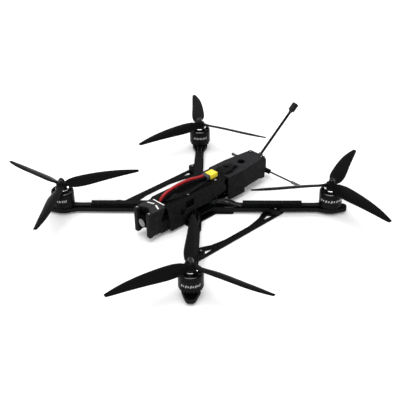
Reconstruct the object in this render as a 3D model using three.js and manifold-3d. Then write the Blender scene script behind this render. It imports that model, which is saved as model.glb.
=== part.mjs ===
// A long-range FPV racing drone: carbon frame, printed nose and tail, four motors with
// three-bladed propellers. Millimetres. +Z up, nose towards -Y, +X to the drone's left.
// Origin: the middle of the bottom plate's underside, level with the braces it stands on.

import * as THREE from 'three';
import { mergeVertices } from 'three/addons/utils/BufferGeometryUtils.js';
import Module from 'manifold-3d';

const wasm = await Module();
wasm.setup();

// ---------------------------------------------------------------- driving dimensions

const GAP = 0.3;                    // air between pieces that rest on each other
const MOTOR_OFFSET = 150;           // motor axes stand at +-150, +-150
const MOTOR_REACH = MOTOR_OFFSET * Math.SQRT2;

const BRACE_THICKNESS = 3;
const ARM_THICKNESS = 7.2;
const ARM_BOTTOM = BRACE_THICKNESS + GAP;
const ARM_TOP = ARM_BOTTOM + ARM_THICKNESS;
const ARM_HALF_WIDTH = 8;
const EAR_REACH = 125.5;            // distance of the brace screw along the arm
const EAR_OFFSET = 10.96;           // and sideways from the arm's centreline

const MID_PLATE_BOTTOM = ARM_TOP + GAP;
const MID_PLATE_THICKNESS = 2;
const MID_PLATE_TOP = MID_PLATE_BOTTOM + MID_PLATE_THICKNESS;
const TOP_PLATE_TOP = 50.4;
const TOP_PLATE_THICKNESS = 2.5;
const TOP_PLATE_BOTTOM = TOP_PLATE_TOP - TOP_PLATE_THICKNESS;
const TOP_PLATE_HALF_WIDTH = 20.3;
const FRAME_FRONT = -78.5;          // front edge of the top plate
const FRAME_REAR = 49.8;            // rear edge of the top plate

const BELL_RADIUS = 18;
const BELL_WALL = 2.4;
const BELL_TOP = 40.1;
const SHAFT_RADIUS = 2.5;
const BORE_RADIUS = 3;
const SHAFT_TOP = 60.8;

const HUB_PLANE = 49;               // middle of the propeller's hub
const HUB_RADIUS = 8.5;
const HUB_HEIGHT = 7.4;
const HUB_BOTTOM = HUB_PLANE - 4;
const NUT_HALF_WIDTH = 4.4;         // across the flats, halved
const NUT_HEIGHT = 6.5;
const PROP_RADIUS = 127;

const NOSE_FRONT = -112;
const NOSE_HALF_WIDTH = 17.6;
const NOSE_BOTTOM = 9;
const CAGE_INNER_HALF_WIDTH = 11;
const CAGE_ROOF = 44;
const CAMERA_HALF_WIDTH = 9.5;
const CAMERA_AXIS_Y = -98;
const CAMERA_AXIS_Z = 29;

const TAIL_FRONT = 50.2;
const TAIL_REAR = 142;
const TAIL_WALL = 2.4;
const TAIL_ROOF_UNDERSIDE = 48;

// The four corners. spin is the way the propeller turns, seen from above: 1 is anticlockwise.
const CORNERS = [
  { name: 'front_left', x: 1, y: -1, bladeAngle: 17.3, spin: -1 },
  { name: 'front_right', x: -1, y: -1, bladeAngle: 65.5, spin: 1 },
  { name: 'rear_left', x: 1, y: 1, bladeAngle: 109.7, spin: 1 },
  { name: 'rear_right', x: -1, y: 1, bladeAngle: 23.1, spin: -1 },
];

// ---------------------------------------------------------------- finishes

function finish(colour, roughness, metalness = 0) {
  return new THREE.MeshStandardMaterial({ color: colour, roughness, metalness });
}

const FINISHES = {
  carbon: () => finish(0x17181a, 0.42),
  printed: () => finish(0x1b1c1e, 0.78),
  blade: () => finish(0x121315, 0.38),
  bell: () => finish(0x151618, 0.34, 0.8),
  base: () => finish(0x1a1b1d, 0.4, 0.8),
  nut: () => finish(0x8d9094, 0.3, 1),
  wire: () => finish(0x141416, 0.6),
  post: () => finish(0x202226, 0.4, 0.7),
  board: () => finish(0x12221a, 0.6),
  can: () => finish(0x2a2c30, 0.45, 0.5),
  plug: () => finish(0xe9c71c, 0.5),
  red: () => finish(0xb3121a, 0.45),
  black: () => finish(0x161616, 0.45),
  lens: () => finish(0x8a8d90, 0.2),
  strap: () => finish(0x232325, 0.9),
  brass: () => finish(0xb08a3c, 0.35, 1),
};

// ---------------------------------------------------------------- solids

// Six times the volume that a welded mesh encloses; negative when its faces point inward.
function signedVolume(positions, triangles) {
  const a = new THREE.Vector3();
  const b = new THREE.Vector3();
  const c = new THREE.Vector3();
  let total = 0;
  for (let i = 0; i < triangles.length; i += 3) {
    a.fromArray(positions, 3 * triangles[i]);
    b.fromArray(positions, 3 * triangles[i + 1]);
    c.fromArray(positions, 3 * triangles[i + 2]);
    total += a.dot(b.cross(c));
  }
  return total;
}

// A closed geometry as a solid that can be joined and cut.
function solidOf(geometry) {
  const bare = geometry.clone();
  bare.deleteAttribute('normal');
  bare.deleteAttribute('uv');
  const welded = mergeVertices(bare, 1e-4);
  const positions = new Float32Array(welded.attributes.position.array);
  const index = welded.index.array;
  const triangles = [];
  for (let i = 0; i < index.length; i += 3) {
    const [p, q, r] = [index[i], index[i + 1], index[i + 2]];
    if (p !== q && q !== r && r !== p) triangles.push(p, q, r);
  }
  if (signedVolume(positions, triangles) < 0) triangles.reverse();
  const mesh = { numProp: 3, vertProperties: positions, triVerts: new Uint32Array(triangles) };
  return new wasm.Manifold(new wasm.Mesh(mesh));
}

function geometryOf(solid) {
  const mesh = solid.getMesh();
  const geometry = new THREE.BufferGeometry();
  geometry.setAttribute('position', new THREE.BufferAttribute(mesh.vertProperties, 3));
  geometry.setIndex(new THREE.BufferAttribute(mesh.triVerts, 1));
  geometry.computeVertexNormals();
  return geometry;
}

function joined(solids) {
  return solids.reduce((whole, piece) => whole.add(piece));
}

function block(low, high) {
  const size = high.map((value, axis) => value - low[axis]);
  const geometry = new THREE.BoxGeometry(...size);
  geometry.translate(...low.map((value, axis) => value + size[axis] / 2));
  return solidOf(geometry);
}

// A shape drawn in X, Y, given thickness from low to high in Z.
function slab(shape, low, high, curveSegments = 6) {
  const options = { depth: high - low, bevelEnabled: false, curveSegments };
  const geometry = new THREE.ExtrudeGeometry(shape, options);
  geometry.translate(0, 0, low);
  return solidOf(geometry);
}

// A shape drawn in Y, Z, given thickness from low to high in X.
function wall(shape, low, high) {
  const geometry = new THREE.ExtrudeGeometry(shape, { depth: high - low, bevelEnabled: false });
  geometry.rotateX(Math.PI / 2);
  geometry.rotateZ(Math.PI / 2);
  geometry.translate(low, 0, 0);
  return solidOf(geometry);
}

// A profile of [radius, height] points turned about the Z axis.
function turned(profile, segments = 24) {
  const points = profile.map(([radius, height]) => new THREE.Vector2(radius, height));
  const geometry = new THREE.LatheGeometry(points, segments);
  geometry.rotateX(Math.PI / 2);
  return solidOf(geometry);
}

// A round bar between two points.
function bar(from, to, radius, segments = 16) {
  const start = new THREE.Vector3(...from);
  const end = new THREE.Vector3(...to);
  const along = end.clone().sub(start);
  const geometry = new THREE.CylinderGeometry(radius, radius, along.length(), segments);
  const upright = new THREE.Vector3(0, 1, 0);
  const turn = new THREE.Quaternion().setFromUnitVectors(upright, along.clone().normalize());
  geometry.applyQuaternion(turn);
  geometry.translate(...start.add(end).multiplyScalar(0.5).toArray());
  return solidOf(geometry);
}

// An outline through [x, y] corners, always walked anticlockwise.
function outline(corners) {
  const points = corners.map(([x, y]) => new THREE.Vector2(x, y));
  if (THREE.ShapeUtils.isClockWise(points)) points.reverse();
  return new THREE.Shape(points);
}

// The same outline with its mirror image across the Y axis, walked front to rear and back.
function mirroredOutline(leftSide) {
  const rightSide = leftSide.map(([x, y]) => [-x, y]).reverse();
  return outline([...leftSide, ...rightSide]);
}

function ring(inner, outer, sides) {
  const shape = new THREE.Shape();
  const hole = new THREE.Path();
  for (let i = 0; i < sides; i += 1) {
    const angle = (2 * Math.PI * i) / sides;
    const reach = outer / Math.cos(Math.PI / sides);
    const [x, y] = [Math.cos(angle), Math.sin(angle)];
    if (i === 0) shape.moveTo(reach * x, reach * y);
    else shape.lineTo(reach * x, reach * y);
  }
  shape.closePath();
  hole.absarc(0, 0, inner, 0, 2 * Math.PI, true);
  shape.holes.push(hole);
  return shape;
}

// ---------------------------------------------------------------- the assembly

const drone = new THREE.Group();

function addPart(name, solid, material, place = {}) {
  const mesh = new THREE.Mesh(geometryOf(solid), material);
  mesh.name = name;
  mesh.position.set(...(place.at ?? [0, 0, 0]));
  mesh.rotation.z = place.heading ?? 0;
  drone.add(mesh);
}

// ---------------------------------------------------------------- plates, arms and braces

// An X-shaped plate: a waist with four lobes that run out under or over the arm roots.
function lobedPlate(waistX, waistY, lobeReach, lobeHalfWidth) {
  const diagonal = (along, across) => [
    (along + across) / Math.SQRT2,
    (along - across) / Math.SQRT2,
  ];
  const spread = lobeHalfWidth * Math.SQRT2;
  const quarter = [
    [waistX, waistX - spread],
    diagonal(lobeReach, lobeHalfWidth),
    diagonal(lobeReach, -lobeHalfWidth),
    [waistY - spread, waistY],
  ];
  const mirrored = (signX, signY) => quarter.map(([x, y]) => [signX * x, signY * y]);
  return outline([
    ...mirrored(1, 1),
    ...mirrored(-1, 1).reverse(),
    ...mirrored(-1, -1),
    ...mirrored(1, -1).reverse(),
  ]);
}

function bottomPlate() {
  return slab(lobedPlate(29, 40, 60, 9.5), 0, BRACE_THICKNESS);
}

function midPlate() {
  const spine = mirroredOutline([[10, -88], [10, -78.5], [16.8, -76], [16.8, 90], [13.2, 138.5]]);
  const low = MID_PLATE_BOTTOM;
  const high = MID_PLATE_TOP;
  return slab(lobedPlate(27, 38, 45, 9.5), low, high).add(slab(spine, low, high));
}

function topPlate() {
  const half = TOP_PLATE_HALF_WIDTH;
  const plan = mirroredOutline([[half - 2, FRAME_FRONT], [half, -74], [half, FRAME_REAR]]);
  const slot = (side) => {
    const [low, high] = [side * 15.5 - 1.5, side * 15.5 + 1.5];
    return block([low, 0, TOP_PLATE_BOTTOM - 1], [high, 20, TOP_PLATE_TOP + 1]);
  };
  const leadHole = block([-6.1, -74.6, TOP_PLATE_BOTTOM - 1], [6.1, -65, TOP_PLATE_TOP + 1]);
  const plate = slab(plan, TOP_PLATE_BOTTOM, TOP_PLATE_TOP);
  return plate.subtract(slot(-1)).subtract(slot(1)).subtract(leadHole);
}

// Half the width of an arm, [distance from the middle of the drone, half width], from the beam
// out round the motor pad to the tip.
const ARM_PROFILE = [
  [146, ARM_HALF_WIDTH],
  [168, 7.4],
  [186, 7.4],
  [193, 8.4],
  [199, 10.4],
  [205, 12.4],
  [211, 13.2],
  [217, 12.8],
  [222, 11.4],
  [230, 8.7],
  [235, 6.6],
  [238, 4.4],
];

// One arm along +X: a pointed root that meets its three neighbours, a slim beam, a motor pad,
// and a round ear on the side where the brace is screwed on.
function arm(side) {
  const root = GAP / Math.SQRT2 + GAP;
  const oneSide = [[root + ARM_HALF_WIDTH, ARM_HALF_WIDTH], ...ARM_PROFILE];
  const shape = outline([
    [root, 0],
    ...oneSide.map(([x, y]) => [x, -y]),
    ...oneSide.reverse(),
  ]);
  const beam = slab(shape, ARM_BOTTOM, ARM_TOP);
  const earRadius = 6;
  const centre = [EAR_REACH, side * EAR_OFFSET];
  const ear = bar([...centre, ARM_BOTTOM], [...centre, ARM_TOP], earRadius, 20);
  return beam.add(ear);
}

// A brace on the left or right: slim in the middle, widening to a triangular foot under each arm.
function brace(side) {
  const half = [[102.5, 0], [102.5, 95], [98, 98], [79, 79], [80.6, 67], [87.5, 52], [92, 25], [92, 0]];
  const shape = outline([
    ...half.slice(0, -1),
    ...half.slice(1, -1).reverse().map(([x, y]) => [x, -y]),
  ].map(([x, y]) => [side * x, y]));
  for (const end of [-1, 1]) {
    const corners = [[95, 53], [90, 70], [98, 75]];
    const hole = new THREE.Path(corners.map(([x, y]) => new THREE.Vector2(side * x, end * y)));
    shape.holes.push(hole);
  }
  return slab(shape, 0, BRACE_THICKNESS);
}

// The cover over the motor wires: a channel that sits on the arm, open at both ends.
function armCover() {
  const [start, end] = [74, 167.5];
  const half = 6;
  const inner = 4.7;
  const top = ARM_TOP + 6.6;
  const outer = block([start, -half, ARM_TOP + GAP], [end, half, top]);
  return outer.subtract(block([start - 1, -inner, ARM_TOP], [end + 1, inner, top - 1.1]));
}

// Three motor wires side by side, down from the speed controller and along the arm.
function motorWires() {
  const half = 4.3;
  const thickness = 2.8;
  const low = ARM_TOP + 2 * GAP;
  const lift = 16;
  const motorEnd = 194.3;
  const shape = outline([
    [34, lift],
    [47, lift],
    [56, low],
    [motorEnd, low],
    [motorEnd, low + thickness],
    [57, low + thickness],
    [48, lift + thickness],
    [34, lift + thickness],
  ]);
  const geometry = new THREE.ExtrudeGeometry(shape, { depth: 2 * half, bevelEnabled: false });
  geometry.rotateX(Math.PI / 2);
  geometry.translate(0, half, 0);
  return solidOf(geometry);
}

addPart('bottom_plate', bottomPlate(), FINISHES.carbon());
addPart('mid_plate', midPlate(), FINISHES.carbon());
addPart('top_plate', topPlate(), FINISHES.carbon());
addPart('left_brace', brace(1), FINISHES.carbon());
addPart('right_brace', brace(-1), FINISHES.carbon());

for (const corner of CORNERS) {
  const heading = Math.atan2(corner.y, corner.x);
  const earSide = -corner.x * corner.y;
  addPart(`${corner.name}_arm`, arm(earSide), FINISHES.carbon(), { heading });
  addPart(`${corner.name}_arm_cover`, armCover(), FINISHES.printed(), { heading });
  addPart(`${corner.name}_motor_wires`, motorWires(), FINISHES.wire(), { heading });
}

// ---------------------------------------------------------------- motors and propellers

// The fixed half of a motor: a cone-sided base on the arm, the stator and the bearing tube.
function motorBase() {
  const foot = ARM_TOP + GAP;
  const shoulder = 15.2;
  const statorRadius = BELL_RADIUS - BELL_WALL - 0.7;
  const statorTop = 32;
  const tubeRadius = 5.6;
  const tubeTop = 36;
  return turned([
    [BORE_RADIUS, foot],
    [13, foot],
    [17.2, shoulder - 0.4],
    [17.2, shoulder],
    [statorRadius, shoulder],
    [statorRadius, statorTop],
    [tubeRadius, statorTop],
    [tubeRadius, tubeTop],
    [BORE_RADIUS, tubeTop],
    [BORE_RADIUS, foot],
  ]);
}

// The turning half: a bell with six windows in its roof, on the shaft that carries the propeller.
function motorBell() {
  const skirt = 15.6;
  const roof = 36.8;
  const inner = BELL_RADIUS - BELL_WALL;
  const bell = turned([
    [0, 11.4],
    [SHAFT_RADIUS, 11.4],
    [SHAFT_RADIUS, roof],
    [inner, roof],
    [inner, skirt],
    [BELL_RADIUS, skirt],
    [BELL_RADIUS, BELL_TOP - 2.6],
    [BELL_RADIUS - 1.6, BELL_TOP],
    [HUB_RADIUS, BELL_TOP],
    [HUB_RADIUS - 0.6, HUB_BOTTOM - GAP],
    [SHAFT_RADIUS, HUB_BOTTOM - GAP],
    [SHAFT_RADIUS, SHAFT_TOP],
    [0, SHAFT_TOP],
  ]);
  const windows = 6;
  const spokeAngle = 0.32;
  let open = bell;
  for (let i = 0; i < windows; i += 1) {
    const start = (2 * Math.PI * i) / windows + spokeAngle / 2;
    const end = (2 * Math.PI * (i + 1)) / windows - spokeAngle / 2;
    const shape = new THREE.Shape();
    shape.absarc(0, 0, 14.6, start, end, false);
    shape.absarc(0, 0, 9.6, end, start, true);
    open = open.subtract(slab(shape, roof - 1, BELL_TOP + 1, 3));
  }
  return open;
}

// Where the blade's edges run. At each radius: how far the leading edge lies ahead of the
// blade's line and above the hub plane, and the same for the trailing edge.
const BLADE_STATIONS = [
  { radius: 6.5, lead: 4.2, leadRise: 1.8, trail: -4.2, trailRise: -1.8, thick: 3.4 },
  { radius: 13, lead: 8.2, leadRise: 3.1, trail: -6.6, trailRise: -3.4, thick: 3.2 },
  { radius: 22, lead: 10.8, leadRise: 3.8, trail: -8.8, trailRise: -4.4, thick: 2.8 },
  { radius: 36, lead: 11.9, leadRise: 4.1, trail: -9.7, trailRise: -4.1, thick: 2.4 },
  { radius: 52, lead: 12.5, leadRise: 3.9, trail: -8.4, trailRise: -3.5, thick: 2.1 },
  { radius: 68, lead: 12.7, leadRise: 3.3, trail: -6.4, trailRise: -2.9, thick: 1.9 },
  { radius: 84, lead: 12.4, leadRise: 2.2, trail: -4.6, trailRise: -2.5, thick: 1.7 },
  { radius: 98, lead: 11.4, leadRise: 1.2, trail: -3.2, trailRise: -2.2, thick: 1.5 },
  { radius: 110, lead: 9.7, leadRise: 0.2, trail: -1.9, trailRise: -2.2, thick: 1.3 },
  { radius: 119, lead: 7.8, leadRise: -0.6, trail: -0.9, trailRise: -2.2, thick: 1.1 },
  { radius: 125, lead: 5.9, leadRise: -1.1, trail: 0.3, trailRise: -2.0, thick: 0.9 },
  { radius: PROP_RADIUS, lead: 4.2, leadRise: -1.4, trail: 1.9, trailRise: -1.7, thick: 0.7 },
];

// One blade along +X, lofted through a lens-shaped section at each station.
function blade(spin) {
  const chordParts = [0, 0.3, 0.7, 1];
  const positions = [];
  const sectionSize = 2 * chordParts.length - 2;
  for (const station of BLADE_STATIONS) {
    const point = (part, lift) => {
      const across = station.lead + (station.trail - station.lead) * part;
      const rise = station.leadRise + (station.trailRise - station.leadRise) * part;
      positions.push(station.radius, spin * across, HUB_PLANE + rise + lift * station.thick);
    };
    chordParts.forEach((part) => point(part, part % 1 === 0 ? 0 : 0.75));
    chordParts.slice(1, -1).reverse().forEach((part) => point(part, -0.25));
  }
  const index = [];
  for (let s = 0; s + 1 < BLADE_STATIONS.length; s += 1) {
    for (let i = 0; i < sectionSize; i += 1) {
      const a = s * sectionSize + i;
      const b = s * sectionSize + ((i + 1) % sectionSize);
      index.push(a, b, b + sectionSize, a, b + sectionSize, a + sectionSize);
    }
  }
  const last = (BLADE_STATIONS.length - 1) * sectionSize;
  for (let i = 1; i + 1 < sectionSize; i += 1) {
    index.push(0, i + 1, i);
    index.push(last, last + i, last + i + 1);
  }
  const geometry = new THREE.BufferGeometry();
  geometry.setAttribute('position', new THREE.Float32BufferAttribute(positions, 3));
  geometry.setIndex(index);
  return geometry;
}

function propeller(spin) {
  const blades = [0, 1, 2].map((i) => {
    const geometry = blade(spin);
    geometry.rotateZ((2 * Math.PI * i) / 3);
    return solidOf(geometry);
  });
  const hub = bar([0, 0, HUB_BOTTOM], [0, 0, HUB_BOTTOM + HUB_HEIGHT], HUB_RADIUS, 24);
  const bore = bar([0, 0, HUB_BOTTOM - 5], [0, 0, HUB_BOTTOM + HUB_HEIGHT + 5], BORE_RADIUS);
  return joined([hub, ...blades]).subtract(bore);
}

function lockNut() {
  const low = HUB_BOTTOM + HUB_HEIGHT + GAP;
  return slab(ring(BORE_RADIUS, NUT_HALF_WIDTH, 6), low, low + NUT_HEIGHT, 5);
}

for (const corner of CORNERS) {
  const at = [corner.x * MOTOR_OFFSET, corner.y * MOTOR_OFFSET, 0];
  const heading = (corner.bladeAngle * Math.PI) / 180;
  addPart(`${corner.name}_motor_base`, motorBase(), FINISHES.base(), { at });
  addPart(`${corner.name}_motor_bell`, motorBell(), FINISHES.bell(), { at });
  addPart(`${corner.name}_propeller`, propeller(corner.spin), FINISHES.blade(), { at, heading });
  addPart(`${corner.name}_prop_nut`, lockNut(), FINISHES.nut(), { at });
}

// ---------------------------------------------------------------- nose and camera

// The printed cage: two thick prongs joined by a roof that starts behind their front ends, with
// a tongue under the top plate and a recessed block low on each side, behind the prongs.
function noseCage() {
  const inner = CAGE_INNER_HALF_WIDTH;
  const backOfProngs = -86.5;
  const roofStart = NOSE_FRONT + 7.5;
  const roofEnd = FRAME_FRONT - GAP;
  const blockTop = 33.5;
  const blockFace = 16.2;
  const cageTop = TOP_PLATE_TOP - 0.4;
  const prong = outline([
    [NOSE_FRONT, NOSE_BOTTOM + 1.5],
    [NOSE_FRONT + 1.5, NOSE_BOTTOM],
    [backOfProngs, NOSE_BOTTOM],
    [backOfProngs, blockTop],
    [roofEnd, cageTop - 4],
    [roofEnd, cageTop],
    [NOSE_FRONT + 1.5, cageTop],
    [NOSE_FRONT, cageTop - 1.5],
  ]);
  const sides = [-1, 1].map((side) => {
    const [low, high] = side > 0 ? [inner, NOSE_HALF_WIDTH] : [-NOSE_HALF_WIDTH, -inner];
    return wall(prong, low, high);
  });
  const blocks = [-1, 1].map((side) => {
    const [low, high] = side > 0 ? [inner, blockFace] : [-blockFace, -inner];
    const ahead = block([low, backOfProngs - 1, NOSE_BOTTOM + 1], [high, roofEnd, blockTop + 2]);
    const besideSpine = MID_PLATE_TOP + GAP;
    return ahead.add(block([low, roofEnd - 1, besideSpine], [high, -69, blockTop]));
  });
  const roof = block([-inner - 1, roofStart, CAGE_ROOF], [inner + 1, roofEnd, cageTop]);
  const tongue = block([-9, roofEnd - 1, CAGE_ROOF], [9, roofEnd + 3, TOP_PLATE_BOTTOM - GAP]);
  const reach = NOSE_HALF_WIDTH + 2;
  const axis = [CAMERA_AXIS_Y, CAMERA_AXIS_Z];
  const pivotHole = bar([-reach, ...axis], [reach, ...axis], 2.4, 12);
  return joined([roof, ...sides, ...blocks, tongue]).subtract(pivotHole);
}

// The camera's housing, with a pin on each side that turns in the cage.
function cameraBody() {
  const half = CAMERA_HALF_WIDTH;
  const front = -107;
  const low = CAMERA_AXIS_Z - half;
  const high = CAMERA_AXIS_Z + half;
  const pinReach = 15;
  const axis = [CAMERA_AXIS_Y, CAMERA_AXIS_Z];
  const pins = bar([-pinReach, ...axis], [pinReach, ...axis], 1.8, 12);
  return block([-half, front, low], [half, -88.5, high]).add(pins);
}

// The lens barrel, with a shallow dish in its face.
function cameraLens() {
  const geometry = new THREE.LatheGeometry([
    [0, 0],
    [7, 0],
    [8, 1],
    [8, 4.7],
    [6.6, 4.7],
    [5, 3.4],
    [0, 3.0],
  ].map(([radius, height]) => new THREE.Vector2(radius, height)), 24);
  geometry.rotateX(Math.PI);
  geometry.translate(0, -107 - GAP, CAMERA_AXIS_Z);
  return solidOf(geometry);
}

addPart('nose_cage', noseCage(), FINISHES.printed());
addPart('camera_body', cameraBody(), FINISHES.can());
addPart('camera_lens', cameraLens(), FINISHES.lens());

// ---------------------------------------------------------------- sides, tail and inside

// A side panel: sloping front edge, full height ahead of the arm, arched over the arm root,
// with a window.
function sidePanel(side) {
  const front = FRAME_FRONT + 1;
  const top = TOP_PLATE_BOTTOM - GAP;
  const shape = outline([
    [front, top],
    [front + 3.6, 31],
    [front + 4.5, 6.5],
    [front + 7.5, 4.3],
    [-45, 4],
    [-37.5, 15.5],
    [-30, 20.8],
    [14.6, 22.7],
    [39, 26.5],
    [47.5, 28.5],
    [47.5, top],
  ]);
  const window = outline([[-40, 30], [-23, 30], [-23, 44], [-40, 44]].reverse());
  shape.holes.push(window);
  const [inner, outer] = [17.8, 20.6];
  return side > 0 ? wall(shape, inner, outer) : wall(shape, -outer, -inner);
}

const TAIL_PLAN = [[22.8, TAIL_FRONT], [22.6, 86], [18, 128], [16.6, TAIL_REAR]];

// Direction of the video antenna: back and up.
const ANTENNA_LEAN = (37 * Math.PI) / 180;
const ANTENNA_ROOT = [0, 146.7, 44.1];

function alongAntenna(distance) {
  const [x, y, z] = ANTENNA_ROOT;
  return [x, y + distance * Math.cos(ANTENNA_LEAN), z + distance * Math.sin(ANTENNA_LEAN)];
}

// The printed tail housing: a tapered box open at the front and below, stepped up behind the
// arms, with two feet, a boss for the antenna connector, a bumper across the rear face and a
// round hole in its roof.
function tailHousing() {
  const step = 88;
  const shallowBottom = 15.5;
  const deepBottom = 8;
  const outer = slab(mirroredOutline(TAIL_PLAN), deepBottom, TOP_PLATE_TOP);
  const innerPlan = TAIL_PLAN.map(([x, y]) => [x - TAIL_WALL, y]);
  innerPlan[0][1] -= 1;
  innerPlan[innerPlan.length - 1][1] -= TAIL_WALL;
  const cavity = slab(mirroredOutline(innerPlan), 0, TAIL_ROOF_UNDERSIDE);
  const stepCut = block([-30, step, 0], [30, TAIL_REAR + 1, shallowBottom]);
  const feet = [-1, 1].map((side) => {
    const [low, high] = side > 0 ? [14.4, 16.8] : [-16.8, -14.4];
    return block([low, 133, 11.5], [high, TAIL_REAR - 0.5, shallowBottom + 3]);
  });
  const boss = block([-6.5, TAIL_REAR - 1, 33], [6.5, TAIL_REAR + 3.5, 48]);
  const bumper = slab(outline([
    [-15, TAIL_REAR - 1],
    [15, TAIL_REAR - 1],
    [15, TAIL_REAR + 4.5],
    [12, TAIL_REAR + 7.5],
    [-12, TAIL_REAR + 7.5],
    [-15, TAIL_REAR + 4.5],
  ]), 24, 42);
  const roofHole = bar([0, 102, 40], [0, 102, 60], 5.8, 24);
  const connectorHole = bar(alongAntenna(-20), alongAntenna(20), 4.6, 16);
  const shell = outer.subtract(cavity).subtract(stepCut);
  const solid = joined([shell, ...feet, boss, bumper]);
  return solid.subtract(roofHole).subtract(connectorHole);
}

function post(x, y) {
  return bar([x, y, MID_PLATE_TOP + GAP], [x, y, TOP_PLATE_BOTTOM - GAP], 2.9, 16);
}

// A circuit board on four short legs.
function board(halfX, halfY, low, thickness, floor) {
  const legs = [];
  for (const x of [-halfX + 3, halfX - 3]) {
    for (const y of [-halfY + 3, halfY - 3]) {
      legs.push(bar([x, y, floor], [x, y, low + 0.5], 1.9, 10));
    }
  }
  return joined([block([-halfX, -halfY, low], [halfX, halfY, low + thickness]), ...legs]);
}

for (const [name, side] of [['left', 1], ['right', -1]]) {
  addPart(`${name}_side_panel`, sidePanel(side), FINISHES.printed());
  addPart(`${name}_front_standoff`, post(side * 13.8, -29.8), FINISHES.post());
  addPart(`${name}_rear_standoff`, post(side * 12.8, 30.5), FINISHES.post());
}
addPart('tail_housing', tailHousing(), FINISHES.printed());

const BOARD_FLOOR = MID_PLATE_TOP + GAP;
const CONTROLLER_LOW = 19;
const CONTROLLER_THICKNESS = 4;
const STACK_STEP = CONTROLLER_LOW + CONTROLLER_THICKNESS + GAP;
addPart('speed_controller', board(17, 20, CONTROLLER_LOW, CONTROLLER_THICKNESS, BOARD_FLOOR),
  FINISHES.board());
addPart('flight_controller', board(16, 18, 29, 3, STACK_STEP), FINISHES.board());
addPart('video_transmitter', block([-15, 58, BOARD_FLOOR], [15, 92, 27]), FINISHES.can());
addPart('receiver', block([-7, 104, BOARD_FLOOR], [7, 124, 18]), FINISHES.board());
addPart('capacitor', bar([0, -68, BOARD_FLOOR + 6.3], [0, -42, BOARD_FLOOR + 6.3], 6.25, 20),
  FINISHES.can());

// ---------------------------------------------------------------- antennas

const CONNECTOR_REACH = 4;
addPart('antenna_connector', bar(alongAntenna(-11), alongAntenna(CONNECTOR_REACH), 4, 12),
  FINISHES.brass());

// The video antenna: a slim stalk with a collar, and a round cap over its end.
const STALK_END = 95;
const CAP_LENGTH = 13.5;
function antennaStalk() {
  const rod = bar(alongAntenna(CONNECTOR_REACH + GAP), alongAntenna(STALK_END), 1.8, 12);
  const collar = bar(alongAntenna(STALK_END - 3), alongAntenna(STALK_END), 2.8, 12);
  return rod.add(collar);
}
addPart('antenna_stalk', antennaStalk(), FINISHES.black());
addPart('antenna_cap',
  bar(alongAntenna(STALK_END + GAP), alongAntenna(STALK_END + GAP + CAP_LENGTH), 5.6, 20),
  FINISHES.black());

// The receiver's antenna lies crosswise behind the tail, through a holder on the mid plate's end.
const DIPOLE_Y = 160;
const DIPOLE_Z = 12;
const DIPOLE_HALF_LENGTH = 77;
const DIPOLE_TIP_LENGTH = 16;
function dipole() {
  const point = (x) => [x, DIPOLE_Y, DIPOLE_Z];
  const tipStart = DIPOLE_HALF_LENGTH - DIPOLE_TIP_LENGTH;
  return joined([
    bar(point(-DIPOLE_HALF_LENGTH), point(DIPOLE_HALF_LENGTH), 0.95, 8),
    bar(point(-DIPOLE_HALF_LENGTH), point(-tipStart), 2, 10),
    bar(point(tipStart), point(DIPOLE_HALF_LENGTH), 2, 10),
  ]);
}
function dipoleHolder() {
  const arm = block([-4, 139.3, 10.6], [6, DIPOLE_Y + 1, 13.4]);
  const knob = bar([0, DIPOLE_Y, DIPOLE_Z], [11, DIPOLE_Y, DIPOLE_Z], 4.2, 16);
  const bore = bar([-8, DIPOLE_Y, DIPOLE_Z], [14, DIPOLE_Y, DIPOLE_Z], 1.5, 12);
  return joined([arm, knob]).subtract(bore);
}
addPart('receiver_antenna', dipole(), FINISHES.black());
addPart('receiver_antenna_holder', dipoleHolder(), FINISHES.printed());

// ---------------------------------------------------------------- battery lead and strap

// Points of the red lead; the black one runs beside it. Both leave through the top plate.
const LEAD_RADIUS = 2.7;
const RED_ROUTE = [
  [-3, -71, 44],
  [-3, -69.6, 50.5],
  [-2.9, -62.5, 56.2],
  [-3, -50.5, 60],
  [-3, -36, 61.8],
  [-3, -20, 61.8],
  [-3, -5, 60],
  [-3.2, 6, 57.3],
  [-3.4, 18.2, 55.4],
];
const BLACK_ROUTE = [
  [3, -71, 44],
  [3, -69.8, 50.5],
  [3.1, -63, 55.2],
  [3.4, -51, 58.2],
  [3.5, -37, 59.6],
  [3.5, -20, 59.6],
  [3.4, -5, 58.4],
  [3.4, 6, 56.8],
  [3.4, 18.2, 55.2],
];

function leadTube(route) {
  const curve = new THREE.CatmullRomCurve3(route.map((point) => new THREE.Vector3(...point)));
  const section = new THREE.Shape();
  section.absarc(0, 0, LEAD_RADIUS, 0, 2 * Math.PI, false);
  const options = { steps: 16, curveSegments: 4, extrudePath: curve, bevelEnabled: false };
  return solidOf(new THREE.ExtrudeGeometry(section, options));
}
addPart('battery_lead_red', leadTube(RED_ROUTE), FINISHES.red());
addPart('battery_lead_black', leadTube(BLACK_ROUTE), FINISHES.black());

// The battery plug: its yellow body and the boot that the two leads enter.
function batteryPlug() {
  const rest = TOP_PLATE_TOP + GAP;
  const body = block([-8, 25, rest], [8, 41, rest + 8.1]);
  const boot = block([-7.2, 19, rest + 0.4], [7.2, 25.5, rest + 7.7]);
  return body.add(boot);
}
addPart('battery_plug', batteryPlug(), FINISHES.plug());

// The battery strap, folded flat on the tail.
addPart('battery_strap', block([-11, 56, TOP_PLATE_TOP + GAP], [11, 90, TOP_PLATE_TOP + 2.8]),
  FINISHES.strap());

export default drone;
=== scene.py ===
"""Looks of a long-range FPV racing drone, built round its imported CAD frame.

Shapes are in millimetres in the row frame (+Z up, nose towards -Y) until mesh code turns them
into metres with MM. The camera, the stage and the finishes are in metres.
"""

import math
from contextlib import contextmanager

import bmesh
import bpy
from mathutils import Matrix, Vector


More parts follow.
